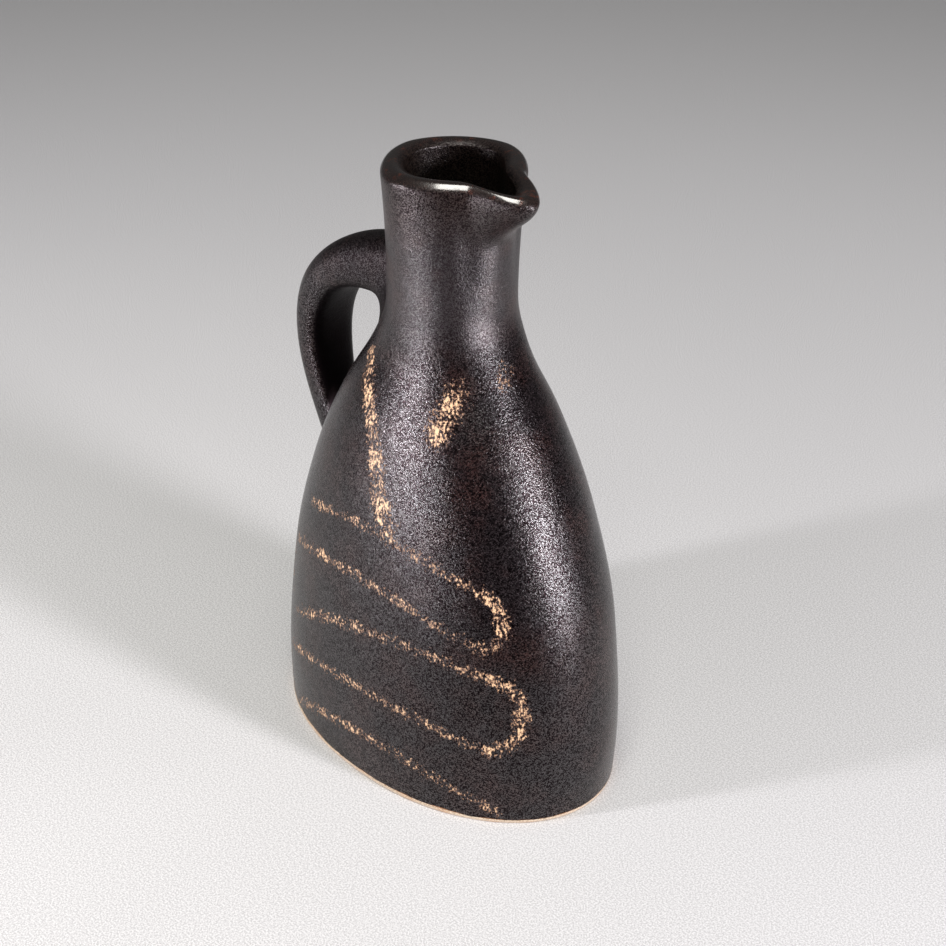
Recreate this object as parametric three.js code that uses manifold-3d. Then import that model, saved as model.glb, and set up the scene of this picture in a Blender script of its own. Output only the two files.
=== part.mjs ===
// Oval stoneware jug with a pinched pouring lip and a pulled strap handle.
// Millimetres, +Z up. The origin is the middle of the foot's underside, and +X points to the lip.

import * as THREE from 'three';
import { mergeVertices } from 'three/addons/utils/BufferGeometryUtils.js';
import Module from 'manifold-3d';

const wasm = await Module();
wasm.setup();

// Outside of the pot: the oval foot, then seven stations, each a rise above the last and drawn in from it
const foot = { halfLength: 52.1, halfWidth: 34.4 };
const belly = { rise: 13, lessLength: -0.9, lessWidth: -0.1 };
const flank = { rise: 33, lessLength: 2.5, lessWidth: 2.1 };
const shoulder = { rise: 30, lessLength: 8.8, lessWidth: 4.2 };
const slope = { rise: 22, lessLength: 11.3, lessWidth: 5.6 };
const collar = { rise: 14, lessLength: 9.1, lessWidth: 5.5 };
const neck = { rise: 12, lessLength: 5.4, lessWidth: 1.1 };
const rim = { rise: 35.5, lessLength: -2.2, lessWidth: -3.1 };
const neckSetBack = 1.3;
const ovalExponent = 2.06;
const rimExponent = 1.71;
const mouthExponent = 1.9;
const endSlopeRatio = 1.5;

// Clay thickness
const wallThickness = 4.6;
const rimThickness = 6.2;
const rimRound = 2.8;
const rimFall = 1.2;
const floorThickness = 7;
const footBevel = 0.6;
const footLedgeHeight = 0.9;

// Lengths of wall that set the heights of the joints
const bellyAboveFlank = 12;
const lipLength = 17.5;

// Pouring lip
const lipReach = 10.3;
const lipSpreadAngle = 22.5;
const lipFlareLength = 17;
const lipFullLength = 2.3;
const lipDip = 1.4;
const grooveReach = 8.6;
const grooveSpreadAngle = 20;
const grooveDip = 2.2;
const pinchDepth = 0.9;
const pinchAngle = 30;
const pinchSpreadAngle = 8;

// Strap handle, with its widths along Y and its thicknesses in the plane of the bend
const strapTopAboveNeck = 2;
const strapFootBelowShoulder = 11.8;
const strapCrownPull = 36.2;
const strapFootPull = { out: 22.8, up: 41.4 };
const strapBury = 3.2;
const strapFootBury = 4.4;
const strapTop = { width: 13.6, thickness: 17 };
const strapGrip = { width: 16, thickness: 11.6 };
const strapFoot = { width: 11, thickness: 9.4 };
const gripRatio = 0.42;
const thinEndRatio = 0.63;
const narrowStartRatio = 0.53;
const strapExponent = 2.4;

// Clay thumbed into the crotches under the roots of the strap
const upperCoil = { size: 5.4, length: 8 };
const lowerCoil = { size: 6.5, length: 22 };
const coilEdge = 0.6;
const coilWrapRatio = 0.35;

// Gap between pieces that meet on a curved face
const seatGap = 0.3;

// Facets round the pot and the strap, and steps up each wall
const roundSides = 64;
const lipCrowdingRatio = 0.45;
const floorSteps = 2;
const bellyOuterSteps = 6;
const bellyInnerSteps = 5;
const shoulderOuterSteps = 8;
const shoulderInnerSteps = 7;
const neckOuterSteps = 6;
const neckInnerSteps = 5;
const lipOuterSteps = 9;
const lipInnerSteps = 7;
const lipRoundSteps = 4;
const lipTopSteps = 2;
const fittingSteps = 60;
const strapSides = 28;
const strapSteps = 26;
const coilSteps = 12;

// Sums of a start and its steps, up to each step
function runningSums(start, steps) {
  return steps.reduce((sums, step) => [...sums, sums[sums.length - 1] + step], [start]);
}

const stations = [belly, flank, shoulder, slope, collar, neck, rim];
const heights = runningSums(0, stations.map((station) => station.rise));
const halfLengths = runningSums(foot.halfLength, stations.map((station) => -station.lessLength));
const halfWidths = runningSums(foot.halfWidth, stations.map((station) => -station.lessWidth));
const [footHeight, , flankHeight, shoulderHeight, , collarHeight, neckHeight, rimHeight] = heights;

// Heights of the joints, the lip and the handle's roots
const bellyTop = flankHeight + bellyAboveFlank;
const neckTop = rimHeight - lipLength;
const lipStart = rimHeight - lipFlareLength;
const lipFull = rimHeight - lipFullLength;
const strapTopHeight = neckHeight + strapTopAboveNeck;
const strapFootHeight = shoulderHeight - strapFootBelowShoulder;

const { smoothstep, lerp, degToRad } = THREE.MathUtils;

// Smooth curve through the stations that never overshoots one of them
function fair(heights, values) {
  const last = heights.length - 1;
  const rises = [];
  for (let i = 0; i < last; i += 1) {
    rises.push((values[i + 1] - values[i]) / (heights[i + 1] - heights[i]));
  }
  const slopes = values.map((value, i) => {
    if (i === 0) return rises[0] * endSlopeRatio;
    if (i === last) return rises[last - 1] * endSlopeRatio;
    if (rises[i - 1] * rises[i] <= 0) return 0;
    const before = heights[i] - heights[i - 1];
    const after = heights[i + 1] - heights[i];
    const below = before + 2 * after;
    const above = after + 2 * before;
    return (below + above) / (below / rises[i - 1] + above / rises[i]);
  });
  return (height) => {
    let i = 0;
    while (i < last - 1 && height > heights[i + 1]) i += 1;
    const span = heights[i + 1] - heights[i];
    const t = THREE.MathUtils.clamp((height - heights[i]) / span, 0, 1);
    const ease = t * t * (3 - 2 * t);
    const leave = t * (1 - t) * (1 - t) * span * slopes[i];
    const arrive = t * t * (1 - t) * span * slopes[i + 1];
    return values[i] + ease * (values[i + 1] - values[i]) + leave - arrive;
  };
}

const halfLengthAt = fair(heights, halfLengths);
const halfWidthAt = fair(heights, halfWidths);

function setBackAt(height) {
  return -neckSetBack * smoothstep(height, flankHeight, neckHeight);
}

function exponentAt(height, topExponent) {
  return lerp(ovalExponent, topExponent, smoothstep(height, collarHeight, rimHeight));
}

// Bell curve of an angle about the lip, 1 on the centre and falling off over the spread
function bell(angle, centre, spread) {
  const off = THREE.MathUtils.euclideanModulo(angle - centre + Math.PI, 2 * Math.PI) - Math.PI;
  return Math.exp(-((off / degToRad(spread)) ** 2));
}

// How the outside and the inside of the rim leave the plain oval
const lipBulge = {
  exponent: rimExponent,
  reach: lipReach,
  spread: lipSpreadAngle,
  dip: lipDip,
  pinch: pinchDepth,
};
const grooveBulge = {
  exponent: mouthExponent,
  reach: grooveReach,
  spread: grooveSpreadAngle,
  dip: grooveDip,
  pinch: 0,
};

// Point of an oval section, pushed out at the lip and in at the two pinches beside it
function sectionPoint(angle, height, inset, bulge) {
  const power = 2 / exponentAt(height, bulge.exponent);
  const x = (halfLengthAt(height) - inset) * Math.sign(Math.cos(angle)) * Math.abs(Math.cos(angle)) ** power;
  const y = (halfWidthAt(height) - inset) * Math.sign(Math.sin(angle)) * Math.abs(Math.sin(angle)) ** power;
  const raised = smoothstep(height, lipStart, lipFull);
  const pinched = smoothstep(height, neckHeight, lipFull);
  const side = degToRad(pinchAngle);
  const pinch = bell(angle, side, pinchSpreadAngle) + bell(angle, -side, pinchSpreadAngle);
  const pulled = raised * bell(angle, 0, bulge.spread);
  const push = bulge.reach * pulled - bulge.pinch * pinched * pinch;
  const radius = Math.hypot(x, y);
  return new THREE.Vector3(
    x * (1 + push / radius) + setBackAt(height),
    y * (1 + push / radius),
    height - bulge.dip * pulled,
  );
}

function outerPoint(angle, height) {
  return sectionPoint(angle, height, 0, lipBulge);
}

function innerPoint(angle, height) {
  const thickness = lerp(wallThickness, rimThickness, smoothstep(height, neckTop, lipFull));
  return sectionPoint(angle, height, thickness, grooveBulge);
}

// Angles round the pot, closer together at the lip
function roundAngles() {
  return Array.from({ length: roundSides }, (_, i) => {
    const even = (2 * Math.PI * i) / roundSides;
    return even - lipCrowdingRatio * Math.sin(even);
  });
}

function ring(pointAt) {
  return roundAngles().map(pointAt);
}

function spaced(from, to, steps) {
  return Array.from({ length: steps + 1 }, (_, i) => lerp(from, to, i / steps));
}

// Skin over a row of rings. A wall closes on its first ring, and a solid gets two end caps
function loft(rings, closesOnItself) {
  const sides = rings[0].length;
  const points = rings.flat();
  const faces = [];
  const bands = closesOnItself ? rings.length : rings.length - 1;
  for (let i = 0; i < bands; i += 1) {
    const low = i * sides;
    const high = ((i + 1) % rings.length) * sides;
    for (let j = 0; j < sides; j += 1) {
      const next = (j + 1) % sides;
      faces.push([low + j, low + next, high + next], [low + j, high + next, high + j]);
    }
  }
  if (!closesOnItself) {
    const top = (rings.length - 1) * sides;
    const ends = [[0, rings[0]], [top, rings[rings.length - 1]]];
    ends.forEach(([start, end], index) => {
      const middle = end.reduce((sum, point) => sum.add(point), new THREE.Vector3()).divideScalar(sides);
      points.push(middle);
      for (let j = 0; j < sides; j += 1) {
        const edge = [start + j, start + ((j + 1) % sides)];
        if (index === 0) edge.reverse();
        faces.push([...edge, points.length - 1]);
      }
    });
  }
  const geometry = new THREE.BufferGeometry().setFromPoints(points);
  const turned = signedVolume(points, faces) < 0;
  geometry.setIndex(faces.flatMap((face) => (turned ? [face[0], face[2], face[1]] : face)));
  geometry.computeVertexNormals();
  return geometry;
}

function signedVolume(points, faces) {
  const cross = new THREE.Vector3();
  return faces.reduce((sum, [a, b, c]) => sum + cross.crossVectors(points[b], points[c]).dot(points[a]) / 6, 0);
}

function toSolid(geometry) {
  const bare = geometry.clone();
  bare.deleteAttribute('normal');
  const merged = mergeVertices(bare);
  return new wasm.Manifold(new wasm.Mesh({
    numProp: 3,
    vertProperties: new Float32Array(merged.attributes.position.array),
    triVerts: new Uint32Array(merged.index.array),
  }));
}

function toGeometry(solid) {
  const mesh = solid.getMesh();
  const geometry = new THREE.BufferGeometry();
  geometry.setAttribute('position', new THREE.BufferAttribute(new Float32Array(mesh.vertProperties), 3));
  geometry.setIndex(new THREE.BufferAttribute(new Uint32Array(mesh.triVerts), 1));
  geometry.computeVertexNormals();
  return geometry;
}

// Foot: an oval slab with a bevelled lower edge. The wall stands on its ledge, round its raised floor
function footSlab() {
  const bottom = ring((angle) => sectionPoint(angle, footHeight, footBevel, lipBulge));
  const edge = [footBevel, footLedgeHeight].map((height) => ring((angle) => outerPoint(angle, height)));
  const floor = spaced(footLedgeHeight, floorThickness, floorSteps).map((height) => ring((angle) => {
    return sectionPoint(angle, height, wallThickness + seatGap, lipBulge);
  }));
  return loft([bottom, ...edge, ...floor], false);
}

// Wall between two flat joints
function wall(bottom, top, outerSteps, innerSteps) {
  const up = spaced(bottom, top, outerSteps).map((height) => ring((angle) => outerPoint(angle, height)));
  const down = spaced(top, bottom, innerSteps).map((height) => ring((angle) => innerPoint(angle, height)));
  return loft([...up, ...down], true);
}

// Ring on top of the rim, a share of the way across the clay and raised above the start of the rounding
function rimRing(across, rise) {
  const height = rimHeight - rimRound;
  return ring((angle) => {
    const point = outerPoint(angle, height).lerp(innerPoint(angle, height), across);
    point.z += rise;
    return point;
  });
}

// Rim: the wall runs up, rounds over, falls across its top to a crisp inner edge and runs down again
function pouringLip() {
  const top = rimHeight - rimRound;
  const rounded = rimRound / rimThickness;
  const up = spaced(neckTop, top, lipOuterSteps).map((height) => ring((angle) => outerPoint(angle, height)));
  const down = spaced(top, neckTop, lipInnerSteps).map((height) => ring((angle) => innerPoint(angle, height)));
  const over = spaced(0, Math.PI / 2, lipRoundSteps).slice(1).map((turn) => {
    return rimRing(rounded * (1 - Math.cos(turn)), rimRound * Math.sin(turn));
  });
  const inward = spaced(0, 1, lipTopSteps).slice(1).map((share) => {
    return rimRing(lerp(rounded, 1, share), rimRound - rimFall * share * share);
  });
  return loft([...up, ...over, ...inward, ...down], true);
}

// The pot's outside as one block, swollen by a clearance, that the handle is fitted against
function fittingBlock(clearance) {
  const rows = spaced(footHeight, rimHeight, fittingSteps).map((height) => ring((angle) => {
    return sectionPoint(angle, height, -clearance, lipBulge);
  }));
  return toSolid(loft(rows, false));
}

// Centre line of the strap: straight out of the neck, over the crown and down into the shoulder
function strapLine() {
  const backAt = (height) => -halfLengthAt(height) + setBackAt(height);
  const start = new THREE.Vector3(backAt(strapTopHeight) + strapBury, 0, strapTopHeight);
  const end = new THREE.Vector3(backAt(strapFootHeight) + strapFootBury, 0, strapFootHeight);
  const crown = start.clone().add(new THREE.Vector3(-strapCrownPull, 0, 0));
  const drop = end.clone().add(new THREE.Vector3(-strapFootPull.out, 0, strapFootPull.up));
  return new THREE.CubicBezierCurve3(start, crown, drop, end);
}

// Width and thickness of the strap along its length, from 0 at the neck to 1 at the shoulder
function strapSizeAt(along) {
  const towardsGrip = smoothstep(along, 0, gripRatio);
  const thinning = smoothstep(along, gripRatio, thinEndRatio);
  const narrowing = smoothstep(along, narrowStartRatio, 1);
  const width = lerp(strapTop.width, strapGrip.width, towardsGrip);
  const thickness = lerp(strapTop.thickness, strapGrip.thickness, towardsGrip);
  return {
    width: lerp(width, strapFoot.width, narrowing),
    thickness: lerp(thickness, strapFoot.thickness, thinning),
  };
}

// Section of the strap, grown by an amount that may change with the turn about its centre
function strapRing(line, along, growthAt) {
  const centre = line.getPointAt(along);
  const ahead = line.getTangentAt(along);
  const outward = new THREE.Vector3(ahead.z, 0, -ahead.x);
  const { width, thickness } = strapSizeAt(along);
  const power = 2 / strapExponent;
  return Array.from({ length: strapSides }, (_, i) => {
    const turn = (2 * Math.PI * i) / strapSides;
    const growth = growthAt(turn);
    const across = (thickness / 2 + growth) * Math.sign(Math.cos(turn)) * Math.abs(Math.cos(turn)) ** power;
    const aside = (width / 2 + growth) * Math.sign(Math.sin(turn)) * Math.abs(Math.sin(turn)) ** power;
    return centre.clone().addScaledVector(outward, across).add(new THREE.Vector3(0, aside, 0));
  });
}

function strapSolid(line, growth) {
  return toSolid(loft(spaced(0, 1, strapSteps).map((along) => strapRing(line, along, () => growth)), false));
}

function handleStrap(line) {
  return toGeometry(strapSolid(line, 0).subtract(fittingBlock(seatGap)));
}

// Saddle of clay under one root of the strap, hollowed in a quarter round and thinning up the flanks
function rootCoil(line, coil, nearAlong, towards) {
  const farAlong = nearAlong + (towards * coil.length) / line.getLength();
  const rootAlong = towards > 0 ? 0 : 1;
  const flare = loft(spaced(rootAlong, farAlong, coilSteps).map((along) => {
    const fade = THREE.MathUtils.clamp((along - nearAlong) / (farAlong - nearAlong), 0, 1);
    const size = lerp(coil.size, coilEdge, Math.sqrt(1 - (1 - fade) ** 2));
    return strapRing(line, along, (turn) => size * (coilWrapRatio - (1 - coilWrapRatio) * Math.cos(turn)));
  }), false);
  return toGeometry(toSolid(flare).subtract(fittingBlock(seatGap)).subtract(strapSolid(line, seatGap)));
}

// Looks of the two finishes
const glaze = { color: 0x2b2627, roughness: 0.42, metalness: 0 };
const bareClay = { color: 0xcdbfa6, roughness: 0.9, metalness: 0 };

const jug = new THREE.Group();
jug.name = 'jug';

function add(name, geometry, finish) {
  const mesh = new THREE.Mesh(geometry, new THREE.MeshStandardMaterial(finish));
  mesh.name = name;
  jug.add(mesh);
}

const line = strapLine();
const lineLength = line.getLength();

add('foot_slab', footSlab(), bareClay);
add('belly_wall', wall(footLedgeHeight, bellyTop, bellyOuterSteps, bellyInnerSteps), glaze);
add('shoulder_wall', wall(bellyTop, collarHeight, shoulderOuterSteps, shoulderInnerSteps), glaze);
add('neck_collar', wall(collarHeight, neckTop, neckOuterSteps, neckInnerSteps), glaze);
add('pouring_lip', pouringLip(), glaze);
add('handle_strap', handleStrap(line), glaze);
add('upper_handle_coil', rootCoil(line, upperCoil, strapBury / lineLength, 1), glaze);
add('lower_handle_coil', rootCoil(line, lowerCoil, 1 - strapBury / lineLength, -1), glaze);

export default jug;
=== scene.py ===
# Oval stoneware jug with a pinched pouring lip and a pulled strap handle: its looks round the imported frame.
# Sizes are in millimetres, and those of the finishes and the lamps in metres. Turns are in degrees.
# The origin is the middle of the foot's underside, +Z is up and +X points to the lip.

import math

import bpy
import numpy as np
from mathutils import Matrix, Vector


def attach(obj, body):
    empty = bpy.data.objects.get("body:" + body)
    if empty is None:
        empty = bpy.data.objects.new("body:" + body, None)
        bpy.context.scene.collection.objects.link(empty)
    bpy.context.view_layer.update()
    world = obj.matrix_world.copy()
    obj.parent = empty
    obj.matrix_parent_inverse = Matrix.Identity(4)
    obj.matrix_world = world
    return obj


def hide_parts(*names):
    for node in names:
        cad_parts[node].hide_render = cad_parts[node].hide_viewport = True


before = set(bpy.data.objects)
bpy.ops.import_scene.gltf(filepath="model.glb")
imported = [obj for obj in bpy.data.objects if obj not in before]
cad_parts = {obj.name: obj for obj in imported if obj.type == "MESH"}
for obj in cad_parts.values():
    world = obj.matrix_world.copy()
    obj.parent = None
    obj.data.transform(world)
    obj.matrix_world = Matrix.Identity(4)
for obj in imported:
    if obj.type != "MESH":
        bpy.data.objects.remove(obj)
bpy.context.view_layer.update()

MM = 0.001

FLANK_HEIGHT = 46.0
COLLAR_HEIGHT = 112.0
NECK_HEIGHT = 124.0
RIM_HEIGHT = 159.5

# Outside of the pot: height, half length and half width of each station
STATIONS = [
    (0.0, 52.1, 34.4),
    (13.0, 53.0, 34.5),
    (FLANK_HEIGHT, 50.5, 32.4),
    (76.0, 41.7, 28.2),
    (98.0, 30.4, 22.6),
    (COLLAR_HEIGHT, 21.3, 17.1),
    (NECK_HEIGHT, 15.9, 16.0),
    (RIM_HEIGHT, 18.1, 19.1),
]
END_STEEPNESS = 1.5
NECK_SET_BACK = 1.3
OVAL_EXPONENT = 2.06
WALL = 4.6
RIM_WALL = 6.2
RIM_ROUND = 2.8
RIM_FALL = 1.2
INNER_FLOOR_HEIGHT = 7.0
INNER_FLOOR_CHAMFER = 0.5
LEDGE_HEIGHT = 0.9
SEAT_GAP = 0.3

# Joints of the wall
BELLY_TOP = 58.0
SHOULDER_TOP = COLLAR_HEIGHT
NECK_TOP = 142.0

# Pouring lip: squareness, reach, spread in degrees, dip and pinch, outside and in the groove
LIP_BULGE = (1.71, 10.3, 22.5, 1.4, 0.9)
GROOVE_BULGE = (1.9, 8.6, 20.0, 2.2, 0.0)
LIP_START = 142.5
LIP_FULL = 157.2
PINCH_ANGLE = 30.0
PINCH_SPREAD = 8.0

# Strap handle: how far its curve is pulled, how deep its ends sit, and its width and thickness
STRAP_TOP_HEIGHT = 126.0
STRAP_FOOT_HEIGHT = 64.2
STRAP_CROWN_PULL = 36.2
STRAP_FOOT_PULL = (22.8, 41.4)
STRAP_BURY = 3.2
STRAP_FOOT_BURY = 4.4
STRAP_TOP = (13.6, 17.0)
STRAP_GRIP = (16.0, 11.6)
STRAP_FOOT = (11.0, 9.4)
STRAP_EXPONENT = 2.4
STRAP_INNER_EXPONENT = 3.2

# Shares of the strap's run where it is at its grip's width, begins to narrow and is thin
GRIP_SHARE = 0.42
NARROW_SHARE = 0.53
THIN_SHARE = 0.63

# Clay smoothed out of the strap's roots: how far it reaches, at the sides and in the crotch
TOP_ROOT_REACH = (1.2, 8.5)
FOOT_ROOT_REACH = (3.4, 8.5)
CROTCH_STEEPNESS = (0.05, 0.75)
ROOT_BED = 0.25


def lerp(start, end, share):
    return start + (end - start) * share


def clamp(share):
    return min(max(share, 0.0), 1.0)


def ease(share):
    return share * share * (3 - 2 * share)


def smooth(value, low, high):
    return ease(clamp((value - low) / (high - low)))


def spaced(low, high, steps):
    return [lerp(low, high, i / steps) for i in range(steps + 1)]


def fair(heights, values):
    """Smooth curve through the stations that never overshoots one of them."""
    last = len(heights) - 1
    spans = [heights[i + 1] - heights[i] for i in range(last)]
    rises = [(values[i + 1] - values[i]) / spans[i] for i in range(last)]
    slopes = [rises[0] * END_STEEPNESS]
    for i in range(1, last):
        if rises[i - 1] * rises[i] <= 0:
            slopes.append(0.0)
            continue
        below = spans[i - 1] + 2 * spans[i]
        above = spans[i] + 2 * spans[i - 1]
        slopes.append((below + above) / (below / rises[i - 1] + above / rises[i]))
    slopes.append(rises[-1] * END_STEEPNESS)

    def at(height):
        i = 0
        while i < last - 1 and height > heights[i + 1]:
            i += 1
        share = clamp((height - heights[i]) / spans[i])
        leave = share * (1 - share) ** 2 * spans[i] * slopes[i]
        arrive = share * share * (1 - share) * spans[i] * slopes[i + 1]
        return lerp(values[i], values[i + 1], ease(share)) + leave - arrive

    return at


station_heights, half_lengths, half_widths = zip(*STATIONS)
half_length_at = fair(station_heights, half_lengths)
half_width_at = fair(station_heights, half_widths)


def set_back_at(height):
    return -NECK_SET_BACK * smooth(height, FLANK_HEIGHT, NECK_HEIGHT)


def wall_at(height):
    return lerp(WALL, RIM_WALL, smooth(height, NECK_TOP, LIP_FULL))


def exponent_at(height, top_exponent=LIP_BULGE[0]):
    return lerp(OVAL_EXPONENT, top_exponent, smooth(height, COLLAR_HEIGHT, RIM_HEIGHT))


def bell(turn, centre, spread):
    off = (turn - centre + 180) % 360 - 180
    return math.exp(-((off / spread) ** 2))


def squared(turn, exponent):
    """Place at a turn on a rounded square of size one, which an exponent of 2 makes a circle."""
    across, along = math.cos(math.radians(turn)), math.sin(math.radians(turn))
    return (
        math.copysign(abs(across) ** (2 / exponent), across),
        math.copysign(abs(along) ** (2 / exponent), along),
    )


def pot_point(turn, height, inset, bulge):
    """Point of the pot's oval, pushed out at the lip and in at the two pinches beside it."""
    top_exponent, reach, spread, dip, depth = bulge
    across, along = squared(turn, exponent_at(height, top_exponent))
    x = (half_length_at(height) - inset) * across
    y = (half_width_at(height) - inset) * along
    raised = smooth(height, LIP_START, LIP_FULL)
    pinched = smooth(height, NECK_HEIGHT, LIP_FULL)
    pinch = bell(turn, PINCH_ANGLE, PINCH_SPREAD) + bell(turn, -PINCH_ANGLE, PINCH_SPREAD)
    pulled = raised * bell(turn, 0, spread)
    push = reach * pulled - depth * pinched * pinch
    grow = 1 + push / math.hypot(x, y)
    return Vector((x * grow + set_back_at(height), y * grow, height - dip * pulled))


def outer_point(turn, height):
    return pot_point(turn, height, 0, LIP_BULGE)


def inner_point(turn, height):
    return pot_point(turn, height, wall_at(height), GROOVE_BULGE)


# Bench work shared by the pieces

SUBDIVISIONS = 2
CREASE_TURN = 50
CUT_TOLERANCE = 1e-7


def clear_bench():
    if bpy.context.object and bpy.context.object.mode != "OBJECT":
        bpy.ops.object.mode_set(mode="OBJECT")
    bpy.ops.object.select_all(action="DESELECT")


def pick_up(piece):
    """Leaves this piece alone selected and active."""
    clear_bench()
    piece.select_set(True)
    bpy.context.view_layer.objects.active = piece


def label(piece, name):
    piece.name = name
    piece.data.name = name


def begin_ring(name, sides, centre, size, tilt=0.0):
    """A circle at its size and place, left in edit mode with all of it selected."""
    clear_bench()
    bpy.ops.mesh.primitive_circle_add(
        vertices=sides, radius=1.0, location=centre, rotation=(0, tilt, 0)
    )
    piece = bpy.context.object
    label(piece, name)
    bpy.ops.object.mode_set(mode="EDIT")
    bpy.ops.mesh.select_all(action="SELECT")
    bpy.ops.transform.resize(value=size, center_override=centre)
    return piece


def next_ring(centre, move, size, turn=0.0):
    """Extrudes the ring, carries it on, turns it about Y and resizes it."""
    bpy.ops.mesh.extrude_region_move(TRANSFORM_OT_translate={"value": move})
    if turn:
        bpy.ops.transform.rotate(value=turn, orient_axis="Y", center_override=centre)
    bpy.ops.transform.resize(value=size, center_override=centre)


def end_ring():
    bpy.ops.object.mode_set(mode="OBJECT")
    bpy.ops.object.transform_apply(location=True, rotation=True, scale=True)


def subdivide(piece):
    pick_up(piece)
    modifier = piece.modifiers.new("Subdivision", "SUBSURF")
    modifier.levels = SUBDIVISIONS
    modifier.render_levels = SUBDIVISIONS
    bpy.ops.object.modifier_apply(modifier=modifier.name)


def smooth_over(piece, crease_turn=CREASE_TURN):
    pick_up(piece)
    bpy.ops.object.shade_smooth_by_angle(angle=math.radians(crease_turn))


# Skin of the pot, from below the ledge up the outside, over the rim and down the inside

SIDES = 72
SKIRT = -4.0
RIM_START = RIM_HEIGHT - RIM_ROUND
RIM_STEPS = 5
RIM_TOP_SHARES = (0.3, 0.6, 0.86, 0.97)
RIM_INNER_DROPS = (0.15, 0.6)

# Share of the rim's rise where its gloss starts, and of the clay crossed where it ends and the inside starts
GLOSS_START = (0.3, 0.65)
GLOSS_END = (0.6, 0.95)
INSIDE_START = (0.8, 1.0)


def skin_rows():
    """Each row's height, share of the clay crossed and rise above the start of the rounding."""
    up = spaced(SKIRT, SHOULDER_TOP, 26)
    up += spaced(SHOULDER_TOP, NECK_TOP, 8)[1:]
    up += spaced(NECK_TOP, RIM_START, 9)[1:]
    down = spaced(RIM_START, NECK_TOP, 8)
    down += spaced(NECK_TOP, SHOULDER_TOP, 7)[1:]
    down += spaced(SHOULDER_TOP, SKIRT, 24)[1:]
    rounded = RIM_ROUND / RIM_WALL
    rows = [(height, 0.0, 0.0) for height in up]
    for angle in spaced(0, math.pi / 2, RIM_STEPS)[1:]:
        rows.append((RIM_START, rounded * (1 - math.cos(angle)), RIM_ROUND * math.sin(angle)))
    for share in RIM_TOP_SHARES:
        rows.append((RIM_START, lerp(rounded, 1, share), RIM_ROUND - RIM_FALL * share**2))
    for drop in RIM_INNER_DROPS:
        rows.append((RIM_START, 1.0, RIM_ROUND - RIM_FALL - drop))
    return rows + [(height, 1.0, 0.0) for height in down]


def row_point(turn, row):
    height, crossed, rise = row
    reached = max(height, 0.0)
    point = outer_point(turn, reached).lerp(inner_point(turn, reached), crossed)
    point.z += rise + min(height, 0.0)
    return point


def row_size(row):
    """Half length, half width and centre of a row, as an ellipse in metres."""
    height, crossed, rise = row
    reached = max(height, 0.0)
    inset = wall_at(reached) * crossed
    centre = Vector((set_back_at(reached), 0, height + rise)) * MM
    return (
        (half_length_at(reached) - inset) * MM,
        (half_width_at(reached) - inset) * MM,
        centre,
    )


def raise_skin():
    rows = skin_rows()
    length, width, centre = row_size(rows[0])
    skin = begin_ring("skin", SIDES, centre, (length, width, 1))
    for row in rows[1:]:
        new_length, new_width, new_centre = row_size(row)
        size = (new_length / length, new_width / width, 1)
        next_ring(new_centre, new_centre - centre, size)
        length, width, centre = new_length, new_width, new_centre
    end_ring()
    press_skin(skin, rows)
    mark_rows(skin, rows)
    subdivide(skin)
    return skin


def press_skin(skin, rows):
    """Presses the ellipses to the pot's ovals and pulls the lip between its two pinches."""
    for index, vertex in enumerate(skin.data.vertices):
        row = rows[index // SIDES]
        length, width, centre = row_size(row)
        off = vertex.co - centre
        turn = math.degrees(math.atan2(off.y / width, off.x / length))
        vertex.co = row_point(turn, row) * MM


def mark_rows(skin, rows):
    """Writes how glossy each row is, full on the rim's rounding, and how far inside the pot it is."""
    gloss = skin.data.attributes.new("gloss", "FLOAT", "POINT")
    inside = skin.data.attributes.new("inside", "FLOAT", "POINT")
    for index in range(len(skin.data.vertices)):
        _, crossed, rise = rows[index // SIDES]
        rounding = smooth(rise / RIM_ROUND, *GLOSS_START)
        gloss.data[index].value = rounding * (1 - smooth(crossed, *GLOSS_END))
        inside.data[index].value = smooth(crossed, *INSIDE_START)


def cut_wall(skin, name, low, high=None):
    """One length of the wall, cut from the skin and closed at its flat joints."""
    pick_up(skin)
    bpy.ops.object.duplicate()
    piece = bpy.context.object
    label(piece, name)
    bpy.ops.object.mode_set(mode="EDIT")
    cuts = [(low, True, False)]
    if high is not None:
        cuts.append((high, False, True))
    for height, clear_below, clear_above in cuts:
        bpy.ops.mesh.select_all(action="SELECT")
        bpy.ops.mesh.bisect(
            plane_co=(0, 0, height * MM),
            plane_no=(0, 0, 1),
            clear_inner=clear_below,
            clear_outer=clear_above,
            threshold=CUT_TOLERANCE,
        )
        bpy.ops.mesh.bridge_edge_loops()
    bpy.ops.mesh.select_all(action="SELECT")
    bpy.ops.mesh.normals_make_consistent(inside=False)
    bpy.ops.object.mode_set(mode="OBJECT")
    smooth_over(piece)
    return piece


# Foot: a slab with a rounded lower edge, a ledge that the wall stands on and a raised floor

FOOT_SIDES = 144
FOOT_CREASE_TURN = 35
SEAT_INSET = WALL + SEAT_GAP
INNER_FLOOR_INSETS = 4
INNER_FLOOR_INSET = 5.0
LEDGE_TOLERANCE = 1.01

# Height of each ring of the foot, and how far it lies in from the pot's outside
FOOT_RINGS = [
    (0.0, 0.6),
    (0.08, 0.3),
    (0.3, 0.08),
    (0.6, 0.0),
    (LEDGE_HEIGHT, 0.0),
    (LEDGE_HEIGHT, SEAT_INSET),
    (4.0, SEAT_INSET),
    (INNER_FLOOR_HEIGHT - INNER_FLOOR_CHAMFER, SEAT_INSET),
    (INNER_FLOOR_HEIGHT, SEAT_INSET + INNER_FLOOR_CHAMFER),
]


def foot_size(height, inset):
    return (half_length_at(height) - inset) * MM, (half_width_at(height) - inset) * MM


def foot_radius(turn, exponent):
    across, along = squared(turn, exponent)
    return math.hypot(across * half_length_at(0), along * half_width_at(0))


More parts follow.
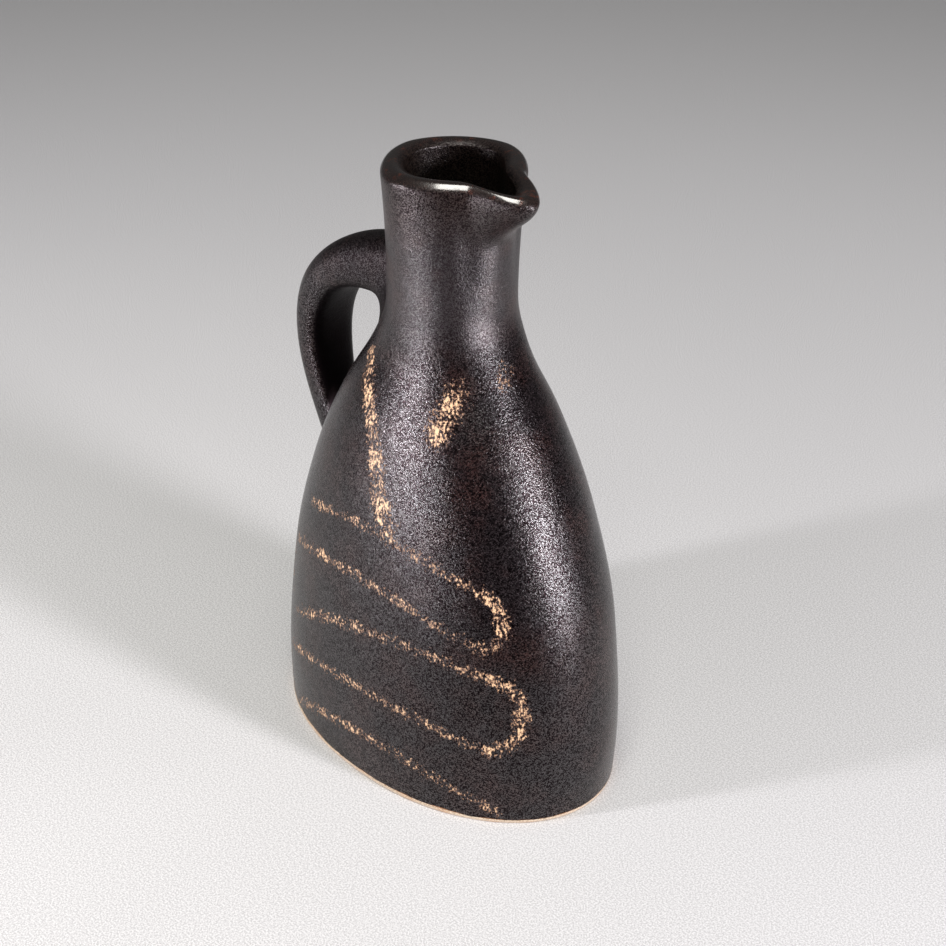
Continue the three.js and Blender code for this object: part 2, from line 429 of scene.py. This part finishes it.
def press_foot():
    length, width = foot_size(*FOOT_RINGS[0])
    foot = begin_ring("foot", FOOT_SIDES, (0, 0, 0), (length, width, 1))
    bpy.ops.mesh.edge_face_add()
    height = 0.0
    for new_height, inset in FOOT_RINGS[1:]:
        new_length, new_width = foot_size(new_height, inset)
        centre = (0, 0, new_height * MM)
        size = (new_length / length, new_width / width, 1)
        next_ring(centre, (0, 0, (new_height - height) * MM), size)
        length, width, height = new_length, new_width, new_height
    for _ in range(INNER_FLOOR_INSETS):
        bpy.ops.mesh.inset(thickness=INNER_FLOOR_INSET * MM)
    end_ring()
    square_foot(foot)
    smooth_over(foot, FOOT_CREASE_TURN)
    return foot


def square_foot(foot):
    """Presses the foot's ellipses to the pot's oval."""
    for vertex in foot.data.vertices:
        across = vertex.co.x / half_length_at(0)
        along = vertex.co.y / half_width_at(0)
        if across or along:
            turn = math.degrees(math.atan2(along, across))
            grow = foot_radius(turn, OVAL_EXPONENT) / foot_radius(turn, 2)
            vertex.co.x *= grow
            vertex.co.y *= grow


def glaze_floor(foot):
    """Gives the raised floor and its sides the foot's second finish, the glaze."""
    for face in foot.data.polygons:
        if face.center.z > LEDGE_HEIGHT * MM * LEDGE_TOLERANCE:
            face.material_index = 1


# Handle: a strap pulled out of the neck, over its crown and down into the shoulder

STRAP_SIDES = 28
STRAP_ROWS = 52
STRAP_CROWD = 0.6
STRAP_FINE = 600
ROOT_STEPS = 200
ON_LINE = 0.01
PROBE_STEP = 0.05
AXES = (Vector((1, 0, 0)), Vector((0, 1, 0)), Vector((0, 0, 1)))

# Painted shade on the strap, as darker and duller glaze: how much the crown gets, where along the strap that
# ends, and the turns of its inner side
CROWN_PAINTED_SHADE = 0.45
CROWN_END = (0.2, 0.45)
INNER_SIDE = (124, 146)


def strap_ends():
    def back(height):
        return -half_length_at(height) + set_back_at(height)

    start = Vector((back(STRAP_TOP_HEIGHT) + STRAP_BURY, 0, STRAP_TOP_HEIGHT))
    end = Vector((back(STRAP_FOOT_HEIGHT) + STRAP_FOOT_BURY, 0, STRAP_FOOT_HEIGHT))
    return start, end


def strap_line():
    """Even steps along the strap's centre line, each with its place and its heading."""
    start, end = strap_ends()
    crown = start + Vector((-STRAP_CROWN_PULL, 0, 0))
    drop = end + Vector((-STRAP_FOOT_PULL[0], 0, STRAP_FOOT_PULL[1]))

    def place(run):
        left = 1 - run
        upper = left**3 * start + 3 * left * left * run * crown
        return upper + 3 * left * run * run * drop + run**3 * end

    def heading(run):
        left = 1 - run
        upper = left * left * (crown - start) + 2 * left * run * (drop - crown)
        return (upper + run * run * (end - drop)).normalized()

    fine = spaced(0, 1, STRAP_FINE)
    places = [place(run) for run in fine]
    lengths = [0.0]
    for before, after in zip(places, places[1:]):
        lengths.append(lengths[-1] + (after - before).length)

    def at(share):
        wanted = share * lengths[-1]
        i = 0
        while i < STRAP_FINE - 1 and lengths[i + 1] < wanted:
            i += 1
        run = fine[i] + (wanted - lengths[i]) / (lengths[i + 1] - lengths[i]) / STRAP_FINE
        return place(run), heading(run)

    return at


def strap_share(row):
    """Share of the strap's run at a row. The rows lie closer together towards both ends."""
    share = row / STRAP_ROWS
    return share - STRAP_CROWD * math.sin(2 * math.pi * share) / (2 * math.pi)


def strap_size(share):
    """Width along Y and thickness in the plane of the bend."""
    towards_grip = smooth(share, 0, GRIP_SHARE)
    thinning = smooth(share, GRIP_SHARE, THIN_SHARE)
    narrowing = smooth(share, NARROW_SHARE, 1)
    width = lerp(lerp(STRAP_TOP[0], STRAP_GRIP[0], towards_grip), STRAP_FOOT[0], narrowing)
    thickness = lerp(lerp(STRAP_TOP[1], STRAP_GRIP[1], towards_grip), STRAP_FOOT[1], thinning)
    return width, thickness


def slant(heading):
    return math.atan2(heading.z, -heading.x)


def pull_strap(at):
    place, heading = at(0)
    width, thickness = strap_size(0)
    size = (1, width / 2 * MM, thickness / 2 * MM)
    strap = begin_ring("handle", STRAP_SIDES, place * MM, size, tilt=math.pi / 2)
    bpy.ops.mesh.edge_face_add()
    angle = slant(heading)
    for row in range(1, STRAP_ROWS + 1):
        share = strap_share(row)
        new_place, heading = at(share)
        new_width, new_thickness = strap_size(share)
        new_angle = slant(heading)
        if new_angle - angle > math.pi:
            new_angle -= 2 * math.pi
        grow = new_thickness / thickness
        size = (grow, new_width / width, grow)
        next_ring(new_place * MM, (new_place - place) * MM, size, turn=angle - new_angle)
        place, angle, width, thickness = new_place, new_angle, new_width, new_thickness
    end_ring()
    return strap


def press_strap(strap, at):
    """Presses the strap's rows to their section and writes how much painted shade, as darker and duller
    glaze, each of them gets round it.
    """
    painted_shade = strap.data.attributes.new("painted_shade", "FLOAT", "POINT")
    for index, vertex in enumerate(strap.data.vertices):
        share = strap_share(index // STRAP_SIDES)
        place, heading = at(share)
        width, thickness = strap_size(share)
        outward = Vector((heading.z, 0, -heading.x))
        off = vertex.co / MM - place
        turn = math.degrees(math.atan2(off.y / width, off.dot(outward) / thickness))
        across, aside = squared(turn, STRAP_EXPONENT if abs(turn) < 90 else STRAP_INNER_EXPONENT)
        shift = outward * across * thickness / 2 + Vector((0, aside * width / 2, 0))
        vertex.co = (place + shift) * MM
        # Painted shade: some on the crown, fading along the strap, and full on the inner side that faces the
        # neck
        crown = CROWN_PAINTED_SHADE * (1 - smooth(share, *CROWN_END))
        painted_shade.data[index].value = lerp(crown, 1.0, smooth(abs(turn), *INNER_SIDE))


def gap_to_pot(point):
    """How far a point stands off the pot's outside, and the way out from it there."""

    def over(place):
        x, y = place.x - set_back_at(place.z), place.y
        exponent = exponent_at(place.z)
        radius = math.hypot(x, y)
        share = (abs(x / radius) / half_length_at(place.z)) ** exponent
        share += (abs(y / radius) / half_width_at(place.z)) ** exponent
        return radius - share ** (-1 / exponent)

    here = over(point)
    slope = Vector([(over(point + PROBE_STEP * axis) - here) / PROBE_STEP for axis in AXES])
    return here / slope.length, slope.normalized()


def smooth_roots(strap, at):
    """Draws the clay of both roots out over the pot, most of all in the two crotches."""
    line = [at(share)[0] for share in spaced(0, 1, ROOT_STEPS)]
    for vertex in strap.data.vertices:
        point = vertex.co / MM
        nearest = min(range(len(line)), key=lambda i: (line[i] - point).length_squared)
        at_top = nearest < ROOT_STEPS / 2
        gap, out = gap_to_pot(point)
        aside = point - line[nearest]
        aside -= aside.dot(out) * out
        if aside.length < ON_LINE:
            continue
        aside.normalize()
        crotch = max(-aside.z if at_top else aside.z, 0.0)
        reach = TOP_ROOT_REACH if at_top else FOOT_ROOT_REACH
        radius = lerp(*reach, smooth(crotch, *CROTCH_STEEPNESS))
        near = clamp(1 - (gap + ROOT_BED) / radius)
        if near:
            moved = point + aside * radius * (1 - math.sqrt(1 - near * near))
            new_gap, new_out = gap_to_pot(moved)
            vertex.co = (moved + new_out * (gap - new_gap)) * MM


def make_handle():
    at = strap_line()
    strap = pull_strap(at)
    press_strap(strap, at)
    subdivide(strap)
    smooth_roots(strap, at)
    smooth_over(strap)
    return strap


# Worn lines in the glaze: turn round the pot, -90 at the middle of the broad face, and height

ARCH_STEPS = 12
HOOK_STEPS = 6

# Wear across a line, from its middle outwards in half widths
WEAR_AT_MIDDLE = 1.45
WEAR_FALL = 0.6


def arch(low, crown, left, right, tail):
    """One run across the face, rising to its crown and sinking to its tail."""
    points = []
    for share in spaced(0, 1, ARCH_STEPS):
        height = lerp(low, tail, share) + (crown - (low + tail) / 2) * math.sin(math.pi * share)
        points.append((lerp(left, right, share), height))
    return points


def hook(turn, high, low, bulge):
    """Round turn from one run down to the next, at one end of the face."""
    middle, half = (high + low) / 2, (high - low) / 2
    points = []
    for share in spaced(0, 1, HOOK_STEPS):
        out = turn + bulge * math.cos(math.pi * (share - 0.5))
        points.append((out, middle + half * math.sin(math.pi * (0.5 - share))))
    return points


V_LEFT = [(-122, 109), (-113, 105.5), (-104, 101.5), (-96, 96.5), (-90, 90.5), (-86, 84), (-83, 79)]
V_FOOT = [(-84, 81), (-80, 75)]
V_RIGHT = [(-45, 108.5), (-50, 105.5), (-54, 102.5), (-58, 99.5)]
SPECKS = [(-3, 113), (-10, 110)]

# Strokes of one broad face, from the top run down and then the V: points, half width and wear
FACE_STROKES = [
    (arch(65, 71.5, -124, -42, 64.5), 1.0, 0.6),
    (hook(-42, 64.5, 50.5, 7), 1.3, 0.68),
    (arch(50, 57.5, -132, -44, 50.5), 1.0, 0.62),
    (hook(-132, 50, 33.5, -5), 0.9, 0.5),
    (arch(31, 44.6, -124, -40, 43), 1.1, 0.62),
    (hook(-40, 43, 22.5, 12), 1.4, 0.7),
    (arch(19, 27, -126, -42, 22.5), 1.0, 0.62),
    (hook(-128, 19, 3.5, -5), 0.9, 0.45),
    (arch(3.5, 13.5, -122, -37, 3.8), 1.1, 0.6),
    (V_LEFT, 1.8, 0.75),
    (V_FOOT, 2.3, 0.76),
    (V_RIGHT, 2.3, 0.68),
    (SPECKS, 1.5, 0.52),
]


def face_strokes():
    """The worn lines of one broad face and, turned half round, of the other."""
    strokes = []
    for points, half_width, wear in FACE_STROKES:
        for half_round in (0, 180):
            places = [outer_point(turn + half_round, height) for turn, height in points]
            strokes.append((places, half_width, wear))
    return strokes


def mark_wear(piece):
    """Writes how worn the glaze is at each vertex, 0 off the lines, in the piece's own attribute."""
    count = len(piece.data.vertices)
    places = np.empty(count * 3)
    piece.data.vertices.foreach_get("co", places)
    places = places.reshape(-1, 3) / MM
    wear = np.zeros(count)
    for points, half_width, strength in face_strokes():
        for start, end in zip(points, points[1:]):
            start, end = np.array(start), np.array(end)
            run = end - start
            share = np.clip((places - start) @ run / (run @ run), 0, 1)
            off = np.linalg.norm(places - start - share[:, None] * run, axis=1)
            worn = np.clip(WEAR_AT_MIDDLE - WEAR_FALL * off / half_width, 0, 1)
            wear = np.maximum(wear, strength * worn)
    layer = piece.data.attributes.new("wear", "FLOAT", "POINT")
    layer.data.foreach_set("value", wear)


# Finishes


class Wire:
    """A value in a finish, so that sums on it read as plain sums."""

    def __init__(self, finish, socket):
        self.finish = finish
        self.socket = socket

    def sum(self, operation, first, second):
        return self.finish.node("ShaderNodeMath", {"operation": operation}, {0: first, 1: second})

    def __add__(self, other):
        return self.sum("ADD", self, other)

    __radd__ = __add__

    def __sub__(self, other):
        return self.sum("SUBTRACT", self, other)

    def __rsub__(self, other):
        return self.sum("SUBTRACT", other, self)

    def __mul__(self, other):
        return self.sum("MULTIPLY", self, other)

    __rmul__ = __mul__

    def between(self, low, high):
        """0 below low, 1 above high and smooth on the way."""
        settings = {"interpolation_type": "SMOOTHSTEP"}
        inputs = {"Value": self, "From Min": low, "From Max": high}
        return self.finish.node("ShaderNodeMapRange", settings, inputs)


class Finish:
    """A material. Its patterns read Object coordinates, and a scale is in lumps for each metre."""

    def __init__(self, name):
        self.material = bpy.data.materials.new(name)
        self.material.use_nodes = True
        self.tree = self.material.node_tree
        self.shader = self.tree.nodes["Principled BSDF"]
        self.place = self.node("ShaderNodeTexCoord", out="Object")

    def node(self, kind, settings=None, inputs=None, out=0):
        made = self.tree.nodes.new(kind)
        for key, value in (settings or {}).items():
            setattr(made, key, value)
        for key, value in (inputs or {}).items():
            self.plug(made.inputs[key], value)
        return Wire(self, made.outputs[out])

    def plug(self, socket, value):
        if isinstance(value, Wire):
            self.tree.links.new(value.socket, socket)
        else:
            socket.default_value = value

    def noise(self, scale, detail=2.0, roughness=0.5, stretch=None):
        place = self.place
        if stretch:
            place = self.node("ShaderNodeMapping", None, {"Vector": place, "Scale": stretch})
        inputs = {"Vector": place, "Scale": scale, "Detail": detail, "Roughness": roughness}
        return self.node("ShaderNodeTexNoise", None, inputs)

    def grains(self, scale):
        """Grains with one shade each."""
        return self.node("ShaderNodeTexVoronoi", None, {"Vector": self.place, "Scale": scale}, out=1)

    def cells(self, scale, smoothness):
        """Distance from the middle of soft cells."""
        settings = {"feature": "SMOOTH_F1"}
        inputs = {"Vector": self.place, "Scale": scale, "Smoothness": smoothness}
        return self.node("ShaderNodeTexVoronoi", settings, inputs)

    def mix(self, share, first, second):
        made = self.tree.nodes.new("ShaderNodeMix")
        made.data_type = "RGBA"
        self.plug(made.inputs["Factor"], share)
        self.plug(made.inputs[6], first)
        self.plug(made.inputs[7], second)
        return Wire(self, made.outputs[2])

    def bump(self, relief, height, under=None):
        """Relief, in metres for a height of one, over another bump if there is one under it."""
        inputs = {"Strength": 1.0, "Distance": relief, "Height": height}
        if under is not None:
            inputs["Normal"] = under
        return self.node("ShaderNodeBump", None, inputs)

    def attribute(self, name):
        return self.node("ShaderNodeAttribute", {"attribute_name": name}, out="Fac")

    def height(self):
        split = self.tree.nodes.new("ShaderNodeSeparateXYZ")
        self.plug(split.inputs[0], self.place)
        return Wire(self, split.outputs[2])

    def along(self, way):
        """How far a place lies from the origin along a way, in metres."""
        settings = {"operation": "DOT_PRODUCT"}
        return self.node("ShaderNodeVectorMath", settings, {0: self.place, 1: way}, out=1)

    def set(self, **values):
        for key, value in values.items():
            self.plug(self.shader.inputs[key.replace("_", " ")], value)


def tone(red, green, blue):
    """Screen colour, 0 to 255, as light."""

    def light(value):
        value /= 255
        return value / 12.92 if value <= 0.04045 else ((value + 0.055) / 1.055) ** 2.4

    return (light(red), light(green), light(blue), 1.0)


# Tones of the glaze and of the clay, some of them in pairs that a pattern runs between
CHARCOAL = (tone(22, 17, 19), tone(35, 28, 30))
OLIVE_INSIDE = (tone(18, 20, 16), tone(58, 61, 53))
WORN_CLAY = (tone(112, 76, 52), tone(224, 188, 146))
FOOT_CLAY = (tone(158, 112, 76), tone(214, 198, 176))
BARE_CLAY = (tone(172, 155, 136), tone(206, 190, 168))
CLAY_STAIN = tone(176, 132, 94)
RED_BROWN = tone(52, 27, 22)
BURNT_BROWN = tone(44, 27, 20)
RIM_BROWN = tone(34, 23, 17)
RUST = tone(104, 48, 26)
# Dark tone of the fine grains, also used as painted shade on the strap's crown and inner side
GRAIN_AND_PAINTED_SHADE_TONE = tone(28, 22, 24)

# Heights, in metres, where the neck's duller glaze and the burnt top begin and are full
NECK_ZONE = (0.108, 0.128)
BURNT_ZONE = (0.140, 0.158)

# Clay line at the foot, in metres: its height, that of its paler part, its raggedness and its soft edge
CLAY_LINE = 0.0008
PALE_LINE = 0.0013
LINE_RAGGEDNESS = 0.0012
LINE_EDGE = 0.0002

# Reliefs, in metres
PEBBLE_RELIEF = 0.00012
WAVE_RELIEF = 0.0008
CLAY_RELIEF = 0.00008

GLAZE_IOR = 1.68
GLAZE_ROUGHNESS = 0.22
COAT_IOR = 2.0
COAT_ROUGHNESS = 0.14
CLAY_ROUGHNESS = 0.85


def glaze_body(glaze, pebble, edge, burnt):
    """Charcoal, clouded with red brown, olive inside, burnt brown at the top and rusty on the rim."""
    cloud = glaze.noise(70, detail=3, roughness=0.6)
    rust = edge * glaze.noise(300, detail=3, roughness=0.7).between(0.55, 0.68)
    olive = glaze.mix(pebble.between(0.5, 0.66), *OLIVE_INSIDE)
    body = glaze.mix(pebble.between(0.38, 0.6), *CHARCOAL)
    body = glaze.mix(cloud.between(0.4, 0.7) * 0.6, body, RED_BROWN)
    body = glaze.mix(glaze.attribute("inside"), body, olive)
    body = glaze.mix(burnt * 0.7, body, BURNT_BROWN)
    body = glaze.mix(edge * 0.6, body, RIM_BROWN)
    return glaze.mix(rust * 0.7, body, RUST)


def worn_lines(glaze):
    """Where flecks of the worn lines are bare clay, and its colour, palest where it is worn deep."""
    wear = glaze.attribute("wear")
    flake = glaze.noise(1500, detail=3, roughness=0.7, stretch=(1.0, 1.0, 0.7))
    patchy = glaze.noise(260, detail=3, roughness=0.6).between(0.35, 0.65)
    worn = wear * (0.21 + patchy * 0.17) + flake
    bare = worn.between(0.70, 0.725) * wear.between(0.03, 0.12)
    return bare, glaze.mix(worn.between(0.73, 0.85), *WORN_CLAY)


def clay_at_foot(glaze, height, colour):
    """The colour with the clay's ragged line below it, where the glaze was wiped off the foot."""
    ragged = glaze.noise(130) * LINE_RAGGEDNESS
    low = (CLAY_LINE - height + ragged).between(0.0, LINE_EDGE)
    pale = (PALE_LINE - height).between(0.0, LINE_EDGE)
    return glaze.mix(low, colour, glaze.mix(pale, *FOOT_CLAY))


def glaze_relief(glaze, pebble, edge, bare):
    """Fine pebbles, sunk on the worn lines and gentle on the rim, over a slow wave."""
    surface = pebble * 0.7 + glaze.cells(2500, smoothness=0.3) * 0.5 - bare * 0.35
    fine = glaze.bump(PEBBLE_RELIEF, surface * (1 - edge * 0.85))
    return glaze.bump(WAVE_RELIEF, glaze.noise(45), under=fine)


def dark_glaze():
    """Satin charcoal glaze with a sheen on its fine grains, painted shade on the handle where it is darkened
    and dulled, and worn off on the lines.
    """
    glaze = Finish("dark_glaze")
    height = glaze.height()
    pebble = glaze.noise(2900, roughness=0.6)
    edge = glaze.attribute("gloss")
    painted_shade = glaze.attribute("painted_shade")
    neck = height.between(*NECK_ZONE)
    burnt = height.between(*BURNT_ZONE) * glaze.noise(22).between(0.35, 0.6)
    bare, clay = worn_lines(glaze)

    grains_and_painted_shade = (glaze.grains(4300) * 0.75 + pebble * 0.25).between(0.37, 0.59) * (1 - neck * 0.45)
    # Painted shade: where the strap is marked, the glaze takes the dark grain tone and goes dull
    grains_and_painted_shade = (grains_and_painted_shade + painted_shade + burnt * 0.3).between(0.0, 1.0) * (1 - bare) * (1 - edge * 0.5)
    colour = glaze.mix(grains_and_painted_shade, glaze_body(glaze, pebble, edge, burnt), GRAIN_AND_PAINTED_SHADE_TONE)
    colour = clay_at_foot(glaze, height, glaze.mix(bare, colour, clay))

    rough = GLAZE_ROUGHNESS + neck * 0.1 + pebble.between(0.4, 0.6) * 0.06 - edge * 0.1
    rough = rough + bare * 0.3 + painted_shade * 0.3
    relief = glaze_relief(glaze, pebble, edge, bare)
    glaze.set(Base_Color=colour, Metallic=grains_and_painted_shade, Roughness=rough, Normal=relief)
    glaze.set(IOR=GLAZE_IOR, Coat_Weight=edge, Coat_Roughness=COAT_ROUGHNESS, Coat_IOR=COAT_IOR)
    return glaze.material


def bare_clay():
    """Pale, unglazed stoneware with a few brown stains."""
    clay = Finish("bare_clay")
    grain = clay.noise(2200, detail=3, roughness=0.6)
    stain = clay.noise(120)
    colour = clay.mix(grain.between(0.3, 0.7), *BARE_CLAY)
    colour = clay.mix(stain.between(0.5, 0.75) * 0.5, colour, CLAY_STAIN)
    relief = clay.bump(CLAY_RELIEF, grain)
    clay.set(Base_Color=colour, Roughness=CLAY_ROUGHNESS - 0.1 * grain, Normal=relief)
    return clay.material


def dress(piece, *materials):
    piece.data.materials.clear()
    for material in materials:
        piece.data.materials.append(material)


# Studio: a pale floor, five soft lamps and the camera at the photograph's angle

FLOOR_SIZE = 8.0
FLOOR_FAR = (-0.74, 0.67, 0.0)
FLOOR_LEFT = (-0.67, -0.74, 0.0)
FLOOR_ROUGHNESS = 0.8
# Right and left tones of the floor: the left one is paler, painted light
FLOOR_PAINTED_SIDE_TONES = (tone(220, 221, 221), tone(236, 237, 236))
FLOOR_CLOUD = tone(216, 217, 216)
# Paler tone far off: painted light
FLOOR_PAINTED_FAR_TONE = tone(236, 237, 239)
FLOOR_MOTTLE = tone(110, 110, 110)
# Dark tone behind the camera: painted shade, which the glaze reflects
FLOOR_PAINTED_SHADE_BEHIND_CAMERA = tone(64, 62, 60)

# Where the camera stands and looks, its roll, lens, sensor and nearest sight, and its turn round the jug
CAMERA_PLACE = (331.6, -290.9, 325.4)
CAMERA_TARGET = (3.4, 3.8, 75.8)
CAMERA_ROLL = 1.26
CAMERA_LENS = 76.1
CAMERA_SENSOR = 36.0
CAMERA_NEAREST = 10.0
CAMERA_TURN = -41.9

# Heights that a lamp aims at, in metres, and how wide it shines
JUG_MIDDLE = 0.08
NECK_MIDDLE = 0.135
WIDE = 180
NARROW = 42

COOL = (1.0, 0.95, 1.0)
WARM = (1.0, 0.98, 0.92)

# Name, turn from the camera's, rise, distance, size, watts, lean, colour, height aimed at and spread
LAMPS = [
    ("left_lamp", -70, 7, 0.75, (0.05, 0.2), 5.9, -20, COOL, JUG_MIDDLE, WIDE),
    ("right_lamp", 51, 13, 0.75, (0.09, 0.26), 7.4, -25, COOL, JUG_MIDDLE, WIDE),
    ("low_left_lamp", -50, -21, 0.3, (0.04, 0.04), 0.018, 0, COOL, NECK_MIDDLE, NARROW),
    ("low_right_lamp", 54, -21, 0.3, (0.04, 0.04), 0.018, 0, COOL, NECK_MIDDLE, NARROW),
    ("top_lamp", -10, 72, 0.95, (0.3, 0.9), 6.4, 0, WARM, JUG_MIDDLE, WIDE),
]

ROOM_COLOUR = (1, 1, 1, 1)
ROOM_LIGHT = 0.06


def floor_paint():
    """Pale grey, clouded and finely mottled, with painted light making it paler on the left and far off, and
    painted shade making it dark behind the camera.
    """
    paint = Finish("floor_paint")
    mottle = paint.noise(2200, detail=3, roughness=0.7)
    cloud = paint.noise(9)
    left = paint.along(FLOOR_LEFT)
    far = paint.along(FLOOR_FAR)
    # Painted light: paler towards the left
    colour = paint.mix(left.between(-0.14, 0.1), *FLOOR_PAINTED_SIDE_TONES)
    colour = paint.mix(cloud.between(0.35, 0.65) * 0.15, colour, FLOOR_CLOUD)
    # Painted light: paler far off
    colour = paint.mix(far.between(-0.02, 0.46), colour, FLOOR_PAINTED_FAR_TONE)
    colour = paint.mix(mottle.between(0.4, 0.6) * 0.4, colour, FLOOR_MOTTLE)
    # Painted shade: dark behind the camera, seen in the glaze's reflections
    colour = paint.mix((0 - far).between(0.1, 0.17), colour, FLOOR_PAINTED_SHADE_BEHIND_CAMERA)
    paint.set(Base_Color=colour, Roughness=FLOOR_ROUGHNESS)
    return paint.material


def lay_floor():
    clear_bench()
    bpy.ops.mesh.primitive_plane_add(size=FLOOR_SIZE, location=(0, 0, 0))
    floor = bpy.context.object
    floor.name = "floor"
    dress(floor, floor_paint())


def rolled_aim(way, roll):
    """How a lamp or a camera that looks along a way is turned, with a roll of its own."""
    return way.to_track_quat("-Z", "Y").to_matrix() @ Matrix.Rotation(math.radians(roll), 3, "Z")


def hang_lamp(name, turn, rise, distance, size, power, lean, colour, aim_height, spread):
    """A soft lamp that faces the jug's axis at the height that it aims at."""
    around = math.radians(CAMERA_TURN + turn)
    above = math.radians(rise)
    way = Vector(
        (
            math.cos(above) * math.cos(around),
            math.cos(above) * math.sin(around),
            math.sin(above),
        )
    )
    data = bpy.data.lights.new(name, "AREA")
    data.shape = "RECTANGLE"
    data.size, data.size_y = size
    data.energy = power
    data.color = colour
    data.spread = math.radians(spread)
    lamp = bpy.data.objects.new(name, data)
    lamp.location = Vector((0, 0, aim_height)) + way * distance
    lamp.rotation_euler = rolled_aim(-way, lean).to_euler()
    bpy.context.scene.collection.objects.link(lamp)


def light_room():
    world = bpy.data.worlds.new("room")
    world.use_nodes = True
    background = world.node_tree.nodes["Background"]
    background.inputs["Color"].default_value = ROOM_COLOUR
    background.inputs["Strength"].default_value = ROOM_LIGHT
    bpy.context.scene.world = world
    bpy.context.scene.view_settings.view_transform = "Standard"


def set_camera():
    data = bpy.data.cameras.new("camera")
    data.lens = CAMERA_LENS
    data.sensor_width = CAMERA_SENSOR
    data.clip_start = CAMERA_NEAREST * MM
    camera = bpy.data.objects.new("camera", data)
    place = Vector(CAMERA_PLACE) * MM
    aim = rolled_aim(Vector(CAMERA_TARGET) * MM - place, CAMERA_ROLL)
    camera.matrix_world = Matrix.Translation(place) @ aim.to_4x4()
    bpy.context.scene.collection.objects.link(camera)
    bpy.context.scene.camera = camera


# The pieces, each standing for its solids in the frame

glaze = dark_glaze()
clay = bare_clay()

skin = raise_skin()
walls = {
    "belly": ("belly_wall", LEDGE_HEIGHT, BELLY_TOP),
    "shoulder": ("shoulder_wall", BELLY_TOP, SHOULDER_TOP),
    "neck": ("neck_collar", SHOULDER_TOP, NECK_TOP),
    "lip": ("pouring_lip", NECK_TOP, None),
}
for name, (node, low, high) in walls.items():
    wall = cut_wall(skin, name, low, high)
    mark_wear(wall)
    dress(wall, glaze)
    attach(wall, "root")
    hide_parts(node)
bpy.data.objects.remove(skin)

handle = make_handle()
dress(handle, glaze)
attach(handle, "root")
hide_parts("handle_strap", "upper_handle_coil", "lower_handle_coil")

foot = press_foot()
dress(foot, clay, glaze)
glaze_floor(foot)
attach(foot, "root")
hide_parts("foot_slab")

# The studio round them

lay_floor()
for lamp in LAMPS:
    hang_lamp(*lamp)
light_room()
set_camera()
